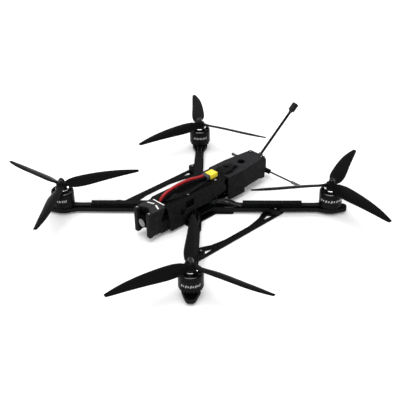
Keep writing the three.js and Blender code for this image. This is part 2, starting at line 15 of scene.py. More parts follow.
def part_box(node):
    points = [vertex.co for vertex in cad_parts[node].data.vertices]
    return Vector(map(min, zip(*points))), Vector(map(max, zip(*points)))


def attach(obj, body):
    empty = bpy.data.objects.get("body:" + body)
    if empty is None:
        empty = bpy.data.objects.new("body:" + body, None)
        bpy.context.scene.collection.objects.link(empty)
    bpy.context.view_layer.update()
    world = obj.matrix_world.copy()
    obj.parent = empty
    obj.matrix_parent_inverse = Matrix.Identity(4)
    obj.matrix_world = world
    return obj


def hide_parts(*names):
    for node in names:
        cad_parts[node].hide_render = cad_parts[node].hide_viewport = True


MM = 0.001
WELD = 2e-6     # vertices nearer than this, in metres, become one

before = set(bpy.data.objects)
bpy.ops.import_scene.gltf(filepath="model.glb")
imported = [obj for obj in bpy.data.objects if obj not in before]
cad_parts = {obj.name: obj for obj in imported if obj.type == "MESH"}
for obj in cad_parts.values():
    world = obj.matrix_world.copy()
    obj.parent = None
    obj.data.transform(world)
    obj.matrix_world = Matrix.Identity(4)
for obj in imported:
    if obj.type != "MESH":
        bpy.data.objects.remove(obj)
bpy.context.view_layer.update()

# -------- camera

ORBIT_CENTRE = Vector((0.0, 0.0, 0.049))     # level with the propeller hubs
CAMERA_AZIMUTH = math.radians(47.57)
CAMERA_ELEVATION = math.radians(30.86)
CAMERA_ROLL = math.radians(1.27)
CAMERA_DISTANCE = 1.3004


def add_object(name, data):
    made = bpy.data.objects.new(name, data)
    bpy.context.scene.collection.objects.link(made)
    return made


def add_camera():
    data = bpy.data.cameras.new("camera")
    data.sensor_width = 36.0
    data.lens = 74.5
    data.shift_x = 0.0107
    data.shift_y = -0.0383
    data.clip_start = 0.05
    data.clip_end = 50.0
    camera = add_object("camera", data)
    az, el = CAMERA_AZIMUTH, CAMERA_ELEVATION
    back = Vector((math.sin(az) * math.cos(el), -math.cos(az) * math.cos(el), math.sin(el)))
    right = Vector((math.cos(az), math.sin(az), 0.0))
    level = Matrix((right, back.cross(right), back)).transposed().to_4x4()
    pose = level @ Matrix.Rotation(-CAMERA_ROLL, 4, "Z")
    pose.translation = ORBIT_CENTRE + back * CAMERA_DISTANCE
    camera.matrix_world = pose
    bpy.context.scene.camera = camera


add_camera()

# -------- materials


class Shader:
    """A material's node tree, with short calls for the nodes that finishes share."""

    def __init__(self, name):
        self.material = bpy.data.materials.new(name)
        self.material.use_nodes = True
        self.tree = self.material.node_tree
        self.skin = self.tree.nodes["Principled BSDF"]

    def put(self, socket_and_shade, value):
        if isinstance(value, bpy.types.NodeSocket):
            self.tree.links.new(value, socket_and_shade)
        else:
            socket_and_shade.default_value = value

    def node(self, kind, inputs, **settings):
        """A new node with its settings, and its inputs set or linked by name or number."""
        node = self.tree.nodes.new("ShaderNode" + kind)
        for name, value in settings.items():
            setattr(node, name, value)
        for key, value in inputs.items():
            self.put(node.inputs[key], value)
        return node

    def math(self, operation, *values):
        return self.node("Math", dict(enumerate(values)), operation=operation).outputs[0]

    def plus(self, a, b):
        return self.math("ADD", a, b)

    def times(self, a, b):
        return self.math("MULTIPLY", a, b)

    def wave(self, value, rate):
        return self.math("SINE", self.times(value, rate))

    def place(self, scale=(1, 1, 1), turn=0.0):
        """Object coordinates, in metres, scaled and turned about Z."""
        where = self.node("TexCoord", {}).outputs["Object"]
        inputs = {"Vector": where, "Scale": scale, "Rotation": (0, 0, turn)}
        return self.node("Mapping", inputs).outputs[0]

    def split(self, vector):
        return self.node("SeparateXYZ", {0: vector}).outputs

    def noise(self, scale, detail=3.0, rough=0.5, vector=None):
        inputs = {"Scale": scale, "Detail": detail, "Roughness": rough,
                  "Vector": vector or self.place()}
        return self.node("TexNoise", inputs).outputs[0]

    def ramp(self, value, low, high, from_low=0.0, from_high=1.0):
        inputs = {"Value": value, "From Min": from_low, "From Max": from_high, "To Min": low,
                  "To Max": high}
        return self.node("MapRange", inputs).outputs[0]

    def mix(self, share, a, b):
        a, b = ((*c, 1.0) if isinstance(c, tuple) else c for c in (a, b))
        return self.node("Mix", {0: share, 6: a, 7: b}, data_type="RGBA").outputs[2]

    def bump(self, height, strength, distance):
        """Adds the relief, as the last step, and hands over the material."""
        inputs = {"Strength": strength, "Distance": distance, "Height": height}
        self.put(self.skin.inputs["Normal"], self.node("Bump", inputs).outputs[0])
        return self.material

    def upward(self):
        """How far the surface faces up or down: 1 on a plate's faces, 0 on its cut edges."""
        return self.math("ABSOLUTE", self.split(self.node("NewGeometry", {}).outputs["Normal"])[2])

    def edge_wear(self, low, high):
        """0 up to one sharpness of convex edge and 1 from another; a flat has 0.5."""
        return self.ramp(self.node("NewGeometry", {}).outputs["Pointiness"], 0.0, 1.0, low, high)

    def set(self, **values):
        names = {"colour": "Base Color", "rough": "Roughness", "metal": "Metallic",
                 "sheen": "Sheen Weight", "sheen_rough": "Sheen Roughness",
                 "specular": "Specular IOR Level", "glow": "Emission Strength",
                 "glow_colour": "Emission Color"}
        for key, value in values.items():
            if "colour" in key and isinstance(value, tuple):
                value = (*value, 1.0)
            self.put(self.skin.inputs[names[key]], value)


def paler(colour, times, plus=0.0):
    return tuple(min(1.0, c * times + plus) for c in colour)


def carbon(name, turn):
    """Twill-woven carbon: two-over-two tows on the faces, the warp tows painted paler than the weft as
    a painted sheen, and paler layered cut edges.
    """
    shader = Shader(name)
    tow = 0.0021
    x, y, z = shader.split(shader.place((1 / tow, 1 / tow, 1 / tow), turn))
    step = shader.plus(shader.math("FLOOR", x), shader.math("FLOOR", y))
    warp = shader.math("LESS_THAN", shader.math("FLOORED_MODULO", step, 4.0), 1.5)
    weft = shader.math("SUBTRACT", 1.0, warp)
    warp_part = shader.times(shader.wave(shader.math("FRACT", x), math.pi), warp)
    weft_part = shader.times(shader.wave(shader.math("FRACT", y), math.pi), weft)
    height = shader.plus(warp_part, weft_part)
    face = shader.ramp(shader.upward(), 0.0, 1.0, 0.45, 0.75)
    fleck = shader.noise(900.0, 2.0)
    # Painted sheen: warp tows get a paler colour than weft tows, in place of the light they reflect
    # differently.
    painted_tow_sheen = shader.mix(warp, (0.001, 0.001, 0.0012), (0.0028, 0.0028, 0.0031))
    layers = shader.math("FRACT", shader.times(z, 7.0))
    cut_shade = shader.times(layers, shader.ramp(fleck, 0.5, 1.2))
    cut = shader.mix(cut_shade, (0.007, 0.007, 0.0072), (0.017, 0.017, 0.0175))
    cut_rough = shader.plus(shader.ramp(fleck, 0.34, 0.46), 0.2)
    shader.set(
        colour=shader.mix(face, cut, painted_tow_sheen),
        rough=shader.math("SUBTRACT", cut_rough, shader.times(face, 0.2)),
        specular=0.022,
    )
    return shader.bump(shader.times(height, face), 0.22, 0.00008)


def printed(name, colour, layer=0.00028, gloss=0.08, pass_width=0.0013):
    """Printed plastic: fine layer lines, the nozzle's passes on flat tops, a mottled sheen painted as
    paler patches, and flat tops painted paler in bands along the passes as painted light from above.
    """
    shader = Shader(name)
    x, _, z = shader.split(shader.place())
    lines = shader.wave(z, 2 * math.pi / layer)
    passes = shader.wave(x, 2 * math.pi / pass_width)
    top = shader.ramp(shader.upward(), 0.0, 1.0, 0.8, 0.95)
    top_passes = shader.times(passes, top)
    grain = shader.noise(1400.0)
    blotch = shader.ramp(shader.noise(150.0, 4.0, 0.65), 0.0, 0.45, 0.35, 0.65)
    height = shader.plus(shader.times(lines, 0.6), grain)
    height = shader.plus(height, shader.times(top_passes, 1.5))
    # Painted light: up-facing flats are coloured paler, in bands along the passes, as if lit from
    # above.
    painted_top_light = shader.times(top, shader.ramp(passes, 0.3, 0.8, -1.0, 1.0))
    shader.set(
        colour=shader.mix(shader.plus(blotch, painted_top_light), colour, paler(colour, 5.2)),
        rough=shader.ramp(grain, 0.5, 0.7),
        specular=gloss,
    )
    return shader.bump(height, 0.35, 0.00006)


def moulded(name, colour, rough=0.35, grain_scale=2200.0, strength=0.12, gloss=0.1):
    """Moulded plastic or rubber: an even colour with a fine grain and soft wear."""
    shader = Shader(name)
    shader.set(
        colour=shader.mix(shader.edge_wear(0.52, 0.62), colour, paler(colour, 1.6, 0.002)),
        rough=shader.ramp(shader.noise(160.0), rough - 0.06, rough + 0.1),
        specular=gloss,
    )
    return shader.bump(shader.noise(grain_scale, 2.0), strength, 0.00005)


def turning_rings(shader):
    """Fine rings round the vertical axis."""
    return shader.noise(3.0, 2.0, 0.6, shader.place((40.0, 40.0, 9000.0)))


def metal(name, colour, rough=0.3, brushed=0.0):
    """Bare metal, with fine rings round the vertical axis when brushed."""
    shader = Shader(name)
    fine = shader.noise(3000.0, 2.0)
    shader.set(
        colour=shader.mix(shader.edge_wear(0.52, 0.66), colour, paler(colour, 1.8, 0.006)),
        metal=1.0,
        rough=shader.ramp(fine, rough - 0.06, rough + 0.1),
    )
    if brushed:
        return shader.bump(turning_rings(shader), brushed, 0.00004)
    return shader.bump(fine, 0.06, 0.00003)


def anodised(name, colour, rough=0.3, gloss=0.15):
    """Black anodised aluminium: a dark satin skin with fine turning rings."""
    shader = Shader(name)
    rings = turning_rings(shader)
    shader.set(
        colour=shader.mix(shader.edge_wear(0.53, 0.7), colour, paler(colour, 3, 0.014)),
        rough=shader.ramp(rings, rough - 0.05, rough + 0.08),
        specular=gloss,
    )
    return shader.bump(rings, 0.12, 0.00004)


def woven(name, colour):
    """Narrow webbing: a fine rib across the strap, its raised fibres painted paler as a highlight
    where they would catch the light.
    """
    shader = Shader(name)
    cord_pitch, rib_pitch = 0.0009, 0.0007
    x, y, _ = shader.split(shader.place((1 / cord_pitch, 1 / rib_pitch, 1 / cord_pitch)))
    height = shader.times(shader.wave(y, 2 * math.pi), shader.wave(x, 2 * math.pi))
    # Painted highlight: the rib's high points are coloured paler.
    shader.set(
        colour=shader.mix(shader.ramp(height, 0.0, 1.0, -1.0, 1.0), colour, paler(colour, 2.2)),
        rough=0.85, sheen=0.02, sheen_rough=0.4, specular=0.08,
    )
    return shader.bump(height, 0.5, 0.00012)


def lens_glass():
    """Coated front element: smooth, with a soft mottled grey cast."""
    shader = Shader("lens_glass")
    mottle = shader.ramp(shader.noise(420.0), 0.0, 1.0, 0.35, 0.65)
    shader.set(colour=shader.mix(mottle, (0.1, 0.103, 0.103), (0.24, 0.24, 0.235)), rough=0.25,
               specular=0.25)
    return shader.bump(shader.noise(40.0, 1.0), 0.02, 0.0001)


def circuit_board():
    """Solder mask with faint tracks under it."""
    shader = Shader("circuit_board")
    tracks = shader.noise(700.0, 0.0, 0.5, shader.place((1.0, 0.25, 1.0)))
    line = shader.ramp(tracks, 0.0, 1.0, 0.49, 0.52)
    shader.set(colour=shader.mix(line, (0.006, 0.012, 0.01), (0.014, 0.03, 0.024)), rough=0.4)
    return shader.bump(line, 0.2, 0.00004)


FINISH = {
    "carbon_arm": carbon("carbon_arm", math.radians(45)),
    "carbon_plate": carbon("carbon_plate", 0.0),
    "printed": printed("printed_plastic", (0.0042, 0.0042, 0.0046), gloss=0.04),
    "printed_nose": printed("printed_nose", (0.006, 0.006, 0.0064), 0.00035, 0.05, 0.0016),
    "printed_soft": printed("printed_soft", (0.0019, 0.0019, 0.0021), 0.0004, 0.02),
    "blade": moulded("blade_nylon", (0.003, 0.003, 0.0034), 0.32, 1500.0, 0.1, 0.018),
    "bell": anodised("bell_anodised", (0.0026, 0.0026, 0.003), 0.28, 0.06),
    "bell_roof": anodised("bell_roof", (0.003, 0.003, 0.0034), 0.3, 0.08),
    "polished": metal("polished_edge", (0.82, 0.83, 0.84), 0.16),
    "steel": metal("steel", (0.3, 0.305, 0.31), 0.28),
    "screw_head": metal("screw_head", (0.2, 0.2, 0.205), 0.3),
    "dark_steel": metal("dark_steel", (0.018, 0.0185, 0.019), 0.32),
    "grey_steel": metal("grey_steel", (0.05, 0.05, 0.052), 0.3),
    "rim": metal("turned_rim", (0.07, 0.07, 0.072), 0.22),
    "magnet": metal("magnet", (0.3, 0.3, 0.31), 0.3),
    "copper": metal("copper_winding", (0.06, 0.03, 0.018), 0.4, 0.5),
    "brass": metal("gold_plate", (0.72, 0.47, 0.16), 0.22),
    "lead": moulded("lead_silicone", (0.0014, 0.0014, 0.0016), 0.5, 700.0, 0.1, 0.03),
    "wire": moulded("wire_silicone", (0.002, 0.002, 0.0023), 0.3, 700.0, 0.12, 0.14),
    "signal": moulded("signal_wire", (0.03, 0.03, 0.032), 0.4, 700.0, 0.1, 0.12),
    "red_wire": moulded("red_silicone", (0.3, 0.003, 0.006), 0.42, 500.0, 0.2, 0.3),
    "yellow": moulded("yellow_nylon", (0.8, 0.58, 0.03), 0.4, gloss=0.3),
    "grey_boot": moulded("grey_boot", (0.045, 0.046, 0.052), 0.5),
    "sleeve": moulded("shrink_sleeve", (0.0035, 0.0035, 0.0038), 0.4, 900.0, 0.15),
    "mark": moulded("faded_mark", (0.26, 0.26, 0.256), 0.5),
    "white_mark": moulded("white_mark", (0.62, 0.62, 0.61), 0.5),
    "chip": moulded("chip_epoxy", (0.0012, 0.0012, 0.0014), 0.5, gloss=0.03),
    "board": circuit_board(),
    "strap": woven("strap_webbing", (0.003, 0.003, 0.0033)),
    "lens": lens_glass(),
    # A near-black finish for pieces that paint shade: in recesses, under parts and round folds.
    "hollow": moulded("shaded_hollow", (0.0012, 0.0012, 0.0013), 0.7, gloss=0.02),
}

# -------- mesh making


def add_piece(name, shape, look, body="frame", stands_for=None, smooth_angle=35.0):
    """Links a mesh, or several as one, as a piece that rides on a body, takes its finish from
    FINISH by look and may stand for a CAD node."""
    mesh = joined(shape) if isinstance(shape, list) else shape
    mesh.materials.clear()
    mesh.materials.append(FINISH[look])
    for polygon in mesh.polygons:
        polygon.use_smooth = True
    mesh.set_sharp_from_angle(angle=math.radians(smooth_angle))
    piece = add_object(name, mesh)
    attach(piece, body)
    if stands_for:
        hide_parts(stands_for)
    return piece


@contextmanager
def editing(mesh):
    """The mesh as a bmesh, written back afterwards."""
    bm = bmesh.new()
    bm.from_mesh(mesh)
    yield bm
    bm.to_mesh(mesh)
    bm.free()


def mesh_of(points, faces, drop_slivers=False):
    mesh = bpy.data.meshes.new("shape")
    mesh.from_pydata([tuple(c * MM for c in point) for point in points], [], faces)
    return tidy(mesh, drop_slivers)


def tidy(mesh, drop_slivers=False):
    """Welds doubled vertices and turns every face outward."""
    with editing(mesh) as bm:
        if drop_slivers:
            bmesh.ops.dissolve_degenerate(bm, edges=bm.edges, dist=WELD)
        bmesh.ops.remove_doubles(bm, verts=bm.verts, dist=WELD)
        bmesh.ops.recalc_face_normals(bm, faces=bm.faces)
    return mesh


def moved(mesh, matrix):
    mesh.transform(matrix)
    return mesh


def shifted(mesh, x=0.0, y=0.0, z=0.0):
    return moved(mesh, Matrix.Translation((x * MM, y * MM, z * MM)))


def turned_about_z(mesh, angle):
    return moved(mesh, Matrix.Rotation(angle, 4, "Z"))


def ring_of(count, mesh, start=0.0):
    """Copies of a mesh spaced evenly round the Z axis, the first one turned by start."""
    return [turned_about_z(mesh.copy(), start + 2 * math.pi * i / count) for i in range(count)]


def mirror(mesh):
    """The mesh's mirror image across the middle of the aircraft."""
    return tidy(moved(mesh.copy(), Matrix.Scale(-1, 4, (1, 0, 0))))


def both_sides(meshes):
    return [*meshes, *map(mirror, meshes)]


def joined(meshes):
    """Several meshes as one."""
    whole = bpy.data.meshes.new("joined")
    with editing(whole) as bm:
        for mesh in meshes:
            bm.from_mesh(mesh)
    return whole


def bevelled(mesh, width, segments=2, angle=30.0):
    """Rounds the edges sharper than the angle."""
    limit = math.radians(angle)
    with editing(mesh) as bm:
        edges = [e for e in bm.edges if len(e.link_faces) == 2 and e.calc_face_angle(0) > limit]
        bmesh.ops.bevel(bm, geom=edges, offset=width * MM, segments=segments, profile=0.6,
                        affect="EDGES", clamp_overlap=True)
    return mesh


def block(low, high, round_by=0.4, segments=2):
    xs, ys, zs = zip(low, high)
    points = [(x, y, z) for x in xs for y in ys for z in zs]
    faces = [(0, 1, 3, 2), (4, 6, 7, 5), (0, 4, 5, 1), (2, 3, 7, 6), (0, 2, 6, 4), (1, 5, 7, 3)]
    return bevelled(mesh_of(points, faces), round_by, segments)


def lathe(profile, segments=48):
    """A closed [radius, height] profile turned about Z; it may start and end on the axis."""
    points, faces = [], []
    count = len(profile)
    on_axis = profile[0][0] == 0 and profile[-1][0] == 0
    for i in range(segments):
        angle = 2 * math.pi * i / segments
        j = (i + 1) % segments
        points.extend((r * math.cos(angle), r * math.sin(angle), z) for r, z in profile)
        for k in range(count - 1 if on_axis else count):
            n = (k + 1) % count
            faces.append((i * count + k, j * count + k, j * count + n, i * count + n))
    return mesh_of(points, faces, drop_slivers=True)


def rounded(corners, steps=6):
    """An outline of [x, y, radius] corners with each corner rounded by its radius."""
    outline = []
    count = len(corners)
    for i, (x, y, radius) in enumerate(corners):
        here = Vector((x, y))
        before = Vector(corners[i - 1][:2]) - here
        after = Vector(corners[(i + 1) % count][:2]) - here
        if radius <= 0:
            outline.append((x, y))
            continue
        half = before.angle(after) / 2
        reach = min(radius / math.tan(half), before.length * 0.48, after.length * 0.48)
        start = here + before.normalized() * reach
        end = here + after.normalized() * reach
        for k in range(steps + 1):
            t = k / steps
            outline.append(tuple(start.lerp(here, t).lerp(here.lerp(end, t), t)))
    return outline


def rounded_box(x0, y0, x1, y1, radius, steps):
    return rounded([(x, y, radius) for x, y in ((x0, y0), (x1, y0), (x1, y1), (x0, y1))], steps)


def circle(x, y, radius, count=24, start=0.0):
    turn = [start + 2 * math.pi * i / count for i in range(count)]
    return [(x + radius * math.cos(a), y + radius * math.sin(a)) for a in turn]


def bolt_hole(x, y):
    """Clearance for a 3 mm screw."""
    return circle(x, y, 1.6, 16)


def with_mirror(half, sx=1, sy=1):
    """An outline's corners on one side of an axis, then their mirror images back again."""
    return [*half, *[(sx * x, sy * y, r) for x, y, r in reversed(half)]]


def plate(outline, holes, low, high, edge=0.3):
    """A flat plate with holes, from low to high in Z, its rims slightly rounded."""
    curve = bpy.data.curves.new("outline", "CURVE")
    curve.dimensions = "2D"
    curve.fill_mode = "BOTH"
    for loop in [outline, *holes]:
        spline = curve.splines.new("POLY")
        spline.points.add(len(loop) - 1)
        for point, (x, y) in zip(spline.points, loop):
            point.co = (x * MM, y * MM, 0.0, 1.0)
        spline.use_cyclic_u = True
    curve.extrude = ((high - low) / 2 - edge) * MM
    curve.bevel_depth = edge * MM
    curve.bevel_resolution = 1
    curve.offset = -edge * MM
    carrier = add_object("outline", curve)
    shape = carrier.evaluated_get(bpy.context.evaluated_depsgraph_get())
    mesh = bpy.data.meshes.new_from_object(shape)
    bpy.data.objects.remove(carrier)
    return tidy(shifted(mesh, z=(low + high) / 2))


STAND_ON_SIDE = Matrix(((0, 0, 1, 0), (1, 0, 0, 0), (0, 1, 0, 0), (0, 0, 0, 1)))


def panel(outline, holes, low, high, edge=0.4):
    """A plate drawn in Y, Z, from low to high in X."""
    return moved(plate(outline, holes, low, high, edge), STAND_ON_SIDE)


def smooth_rows(rows, steps):
    """Catmull-Rom rows, of any width, through the given ones."""
    padded = [[2 * a - b for a, b in zip(rows[0], rows[1])], *rows,
              [2 * a - b for a, b in zip(rows[-1], rows[-2])]]
    fine = []
    for a, b, c, d in zip(padded, padded[1:], padded[2:], padded[3:]):
        for k in range(steps):
            t = k / steps
            fine.append([0.5 * (2 * q + (r - p) * t + (2 * p - 5 * q + 4 * r - s) * t ** 2
                                + (3 * q - p - 3 * r + s) * t ** 3)
                         for p, q, r, s in zip(a, b, c, d)])
    return [*fine, list(rows[-1])]


def smooth_path(points, steps):
    return [Vector(row) for row in smooth_rows(points, steps)]


def skinned(points, size):
    """Rings of points, size to a ring, skinned from each to the next and closed at both ends."""
    faces = []
    for ring in range(0, len(points) - size, size):
        for k in range(size):
            n = (k + 1) % size
            faces.append((ring + k, ring + n, ring + size + n, ring + size + k))
    faces.append(tuple(range(size)))
    faces.append(tuple(reversed(range(len(points) - size, len(points)))))
    return mesh_of(points, faces)


def heading_at(path, i):
    """The way a path runs at one of its points."""
    return (path[min(i + 1, len(path) - 1)] - path[max(i - 1, 0)]).normalized()


def tube(points, radius, sides):
    """A round tube along the points, closed at both ends."""
    path = [Vector(p) for p in points]
    rings = []
    side = None
    for i, here in enumerate(path):
        ahead = heading_at(path, i)
        if side is None:
            guide = Vector((0, 0, 1)) if abs(ahead.z) < 0.9 else Vector((1, 0, 0))
            side = ahead.cross(guide)
        side = (side - ahead * side.dot(ahead)).normalized()
        up = ahead.cross(side)
        for k in range(sides):
            angle = 2 * math.pi * k / sides
            rings.append(here + (side * math.cos(angle) + up * math.sin(angle)) * radius)
    return skinned(rings, sides)


def aimed(mesh, origin, direction):
    """A mesh made about the Z axis, put at a point and aimed along a direction."""
    turn = Vector((0, 0, 1)).rotation_difference(Vector(direction)).to_matrix().to_4x4()
    return moved(mesh, Matrix.Translation(Vector(origin) * MM) @ turn)


# -------- battery leads

LEAD_RADIUS = 2.7
RED_ROUTE = [
    (-3, -71, 44), (-3, -69.6, 50.5), (-2.9, -62.5, 56.2), (-3, -50.5, 60), (-3, -36, 61.8),
    (-3, -20, 61.8), (-3, -5, 60), (-3.2, 6, 57.3), (-3.4, 18.2, 55.4),
]
BLACK_ROUTE = [
    (3, -71, 44), (3, -69.8, 50.5), (3.1, -63, 55.2), (3.4, -51, 58.2), (3.5, -37, 59.6),
    (3.5, -20, 59.6), (3.4, -5, 58.4), (3.4, 6, 56.8), (3.4, 18.2, 55.2),
]


def add_lead(node, route, look, slot):
    path = smooth_path(route, 6)
    piece = add_piece(f"{slot}_cord", tube(path, LEAD_RADIUS, 20), look, stands_for=node)


def add_battery_plug():
    """Yellow keyed connector with its grey boot, lying on the top plate."""
    low, high = (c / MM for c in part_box("battery_plug"))
    boot_end = low.y + 6.3
    middle = (low.z + high.z) / 2
    key = 2.6
    contacts = (-3.6, 3.6)
    corners = [(low.x, low.z), (high.x, low.z), (high.x, high.z), (low.x + key, high.z),
               (low.x, high.z - key)]
    section = rounded([(x, z, 0.8) for x, z in corners])
    upright = Matrix(((1, 0, 0, 0), (0, 0, 1, 0), (0, 1, 0, 0), (0, 0, 0, 1)))
    pockets = [circle(x, middle, 2.3, 20) for x in contacts]
    shell = moved(plate(section, pockets, boot_end + 7, high.y - 0.6, 0.5), upright)
    back = moved(plate(section, [], boot_end, boot_end + 7.6, 0.5), upright)
    boot = block((low.x + 0.9, low.y, low.z + 0.5), (high.x - 0.9, boot_end + 0.6, high.z - 0.6),
                 1.4, 3)
    pin = lathe([(0, 0), (1.75, 0), (1.75, 7), (1.2, 7.6), (0, 7.6)], 20)
    pins = [aimed(pin.copy(), (x, high.y - 8.4, middle), (0, 1, 0)) for x in contacts]
    ribs = [block((low.x - 0.15, y, low.z + 1.2), (high.x + 0.15, y + 0.7, high.z - key - 0.4), 0.2)
            for y in (boot_end + 3.0, boot_end + 5.0, boot_end + 7.0)]
    return [
        add_piece("battery_plug_body", tidy(joined([shell, back])), "yellow",
                  stands_for="battery_plug"),
        add_piece("battery_plug_boot", boot, "grey_boot"),
        add_piece("battery_plug_pins", pins, "brass"),
        add_piece("battery_plug_ribs", ribs, "yellow"),
    ]


plug_pieces = add_battery_plug()
add_lead("battery_lead_red", RED_ROUTE, "red_wire", "lead_red")
add_lead("battery_lead_black", BLACK_ROUTE, "lead", "lead_black")

# -------- corners of the aircraft

CORNERS = {  # which side in X and Y, the first blade's angle, which way it spins
    "front_left": (1, -1, 17.3, -1),
    "front_right": (-1, -1, 65.5, 1),
    "rear_left": (1, 1, 109.7, 1),
    "rear_right": (-1, 1, 23.1, -1),
}
MOTOR_OFFSET = 150.0
MOTOR_REACH = MOTOR_OFFSET * math.sqrt(2)


def add_arm_piece(corner, name, meshes, look, stands_for=None):
    """A piece made along +X, swung out to lie on a corner's arm."""
    sx, sy, _, _ = CORNERS[corner]
    node = f"{corner}_{stands_for}" if stands_for else None
    swung = turned_about_z(joined(meshes), math.atan2(sy, sx))
    add_piece(f"{corner}_{name}", swung, look, stands_for=node)


def add_motor_piece(corner, name, meshes, look, stands_for=None, turns=True,
                    smooth_angle=35.0):
    """A piece made round the Z axis and put at a corner's motor."""
    sx, sy, _, _ = CORNERS[corner]
    body = f"{corner}_rotor" if turns else "frame"
    node = f"{corner}_{stands_for}" if stands_for else None
    placed = shifted(joined(meshes), sx * MOTOR_OFFSET, sy * MOTOR_OFFSET)
    add_piece(f"{corner}_{name}", placed, look, body, node, smooth_angle)


# -------- propellers

HUB_PLANE = 49.0
BLADE = [  # radius, leading edge ahead and up, trailing edge ahead and up, thickness
    (5.5, 4.0, 1.6, -4.0, -1.6, 3.6),
    (9.0, 5.6, 2.3, -5.0, -2.4, 3.4),
    (13, 8.2, 3.1, -6.6, -3.4, 3.1),
    (22, 10.8, 3.8, -8.8, -4.4, 2.7),
    (36, 11.9, 4.1, -9.7, -4.1, 2.3),
    (52, 12.5, 3.9, -8.4, -3.5, 2.0),
    (68, 12.7, 3.3, -6.4, -2.9, 1.8),
    (84, 12.4, 2.2, -4.6, -2.5, 1.6),
    (98, 11.4, 1.2, -3.2, -2.2, 1.4),
    (110, 9.7, 0.2, -1.9, -2.2, 1.2),
    (119, 7.9, -0.6, -0.9, -2.2, 1.25),
    (124, 6.8, -1.0, -0.3, -2.05, 1.15),
    (126.2, 6.1, -1.2, 0.2, -1.95, 1.05),
    (126.9, 5.2, -1.3, 1.0, -1.8, 0.7),
]
SECTION = 12     # points along each face of the blade's section


def blade_mesh(spin):
    """One blade along +X: an aerofoil section lofted along a smooth curve through BLADE."""
    rings = []
    for radius, lead, lead_up, trail, trail_up, thick in smooth_rows(BLADE, 5):
        for face in (1, -1):
            for k in range(SECTION):
                part = k / SECTION if face > 0 else 1 - k / SECTION
                bow = math.sqrt(part) * (1 - part) * 2.2
                camber = 0.55 * 4 * part * (1 - part)
                lift = (camber + face * 0.62 * bow) * thick * 0.98
                rings.append((radius, spin * (lead + (trail - lead) * part),
                              HUB_PLANE + lead_up + (trail_up - lead_up) * part + lift))
    return skinned(rings, 2 * SECTION)


HUB_PROFILE = [
    (2.9, 45.0), (8.0, 45.0), (8.5, 45.5), (8.5, 51.2), (8.2, 51.9), (7.4, 52.3), (5.4, 52.3),
    (5.1, 52.0), (4.7, 52.0), (4.4, 52.4), (2.9, 52.4),
]
NUT_LOW, NUT_HIGH = 53.3, 58.2
NUT_FLANGE = [(2.6, 52.7), (5.2, 52.7), (5.2, 53.2), (4.4, 53.6), (2.6, 53.6)]
NUT_COLLAR = [(2.55, 58.0), (4.0, 58.0), (4.0, 58.7), (3.6, 59.2), (2.55, 59.2)]
SHAFT_END = [(0, 40), (2.5, 40), (2.5, 60.0), (1.9, 60.8), (0.9, 60.8), (0.7, 60.2), (0, 60.2)]


def add_propeller(corner):
    _, _, blade_angle, spin = CORNERS[corner]
    angle = math.radians(blade_angle)
    blades = ring_of(3, blade_mesh(spin), angle)
    fillets = ring_of(3, block((6.2, -3.4, 46.3), (11.5, 3.4, 50.9), 1.5, 3), angle)
    add_motor_piece(corner, "propeller_moulded", [lathe(HUB_PROFILE), *blades, *fillets], "blade",
                    "propeller", smooth_angle=40)
    nut = plate(circle(0, 0, 5.0, 6), [circle(0, 0, 2.6)], NUT_LOW, NUT_HIGH, 0.5)
    add_motor_piece(corner, "nut_hex", [nut, lathe(NUT_FLANGE, 36)], "dark_steel", "prop_nut")
    add_motor_piece(corner, "nut_collar", [lathe(NUT_COLLAR, 36)], "grey_steel")
    add_motor_piece(corner, "shaft_end", [lathe(SHAFT_END, 24)], "dark_steel")


# -------- motors

SKIRT = [  # the bell's steel ring: a closed section, outside then inside
    (15.7, 15.6), (17.5, 15.6), (18.0, 16.1), (18.0, 19.2), (17.7, 19.5), (17.7, 20.2),
    (18.0, 20.5), (18.0, 33.2), (17.7, 33.5), (17.7, 34.3), (18.0, 34.6), (18.0, 37.4),
    (17.7, 38.7), (16.9, 39.7), (15.8, 40.1), (14.9, 39.9), (14.9, 37.4), (15.7, 36.6),
]
HUB_RING = [
    (2.6, 37.2), (9.8, 37.2), (10.6, 38.0), (10.6, 39.8), (9.9, 40.6), (8.3, 41.0), (8.0, 43.2),
    (7.6, 44.6), (2.6, 44.6),
]
RIM_PROFILE = [(16.75, 39.45), (17.35, 38.95), (17.5, 39.15), (16.9, 39.72)]
POLISHED_RING = [(7.4, 41.0), (10.4, 41.0), (10.8, 41.4), (10.8, 42.4), (10.4, 42.8), (7.4, 42.8)]
WINDOWS = 6
MAGNETS = 14
TEETH = 12
BASE_FINS = 20
BELL_RADIUS = 18.0


def add_bell(corner):
    spoke = rounded(with_mirror([(8.8, -2.0, 0), (12.2, -1.5, 2), (16.4, -3.6, 0)], sy=-1))
    spokes = ring_of(WINDOWS, plate(spoke, [], 37.4, 40.2, 0.5), math.radians(12))
    magnets = ring_of(MAGNETS, block((14.9, -2.7, 17.5), (15.75, 2.7, 33.5), 0.2, 1))
    for name, meshes, look, slot, node in (
        ("bell_skirt", [lathe(SKIRT, 72)], "bell", "motor_bell", "motor_bell"),
        ("bell_rim", [lathe(RIM_PROFILE, 72)], "rim", "motor_bell", None),
        ("bell_roof", [lathe(HUB_RING, 60), *spokes], "bell_roof", "motor_bell", None),
        ("bell_polish", [lathe(POLISHED_RING, 60)], "polished", "motor_bell", None),
        ("magnets", magnets, "magnet", "nut", None),
        ("bell_mark", bell_strokes(corner), "mark", "motor_bell", None),
    ):
        add_motor_piece(corner, name, meshes, look, node)


def bell_stroke(start, end, middle, half):
    """A thin slanted patch on the bell's side between two angles, its height half each way."""
    points = []
    skin, steps, slant = 0.06, 6, STROKE_SLANT * half
    low, high, outer = middle - half, middle + half, BELL_RADIUS + skin
    corners = [(BELL_RADIUS, low, 0), (outer, low, 0), (outer, high, slant),
               (BELL_RADIUS, high, slant)]
    for i in range(steps + 1):
        angle = math.radians(start + (end - start) * i / steps)
        points.extend((r * math.cos(angle + lean), r * math.sin(angle + lean), z)
                      for r, z, lean in corners)
    return skinned(points, len(corners))


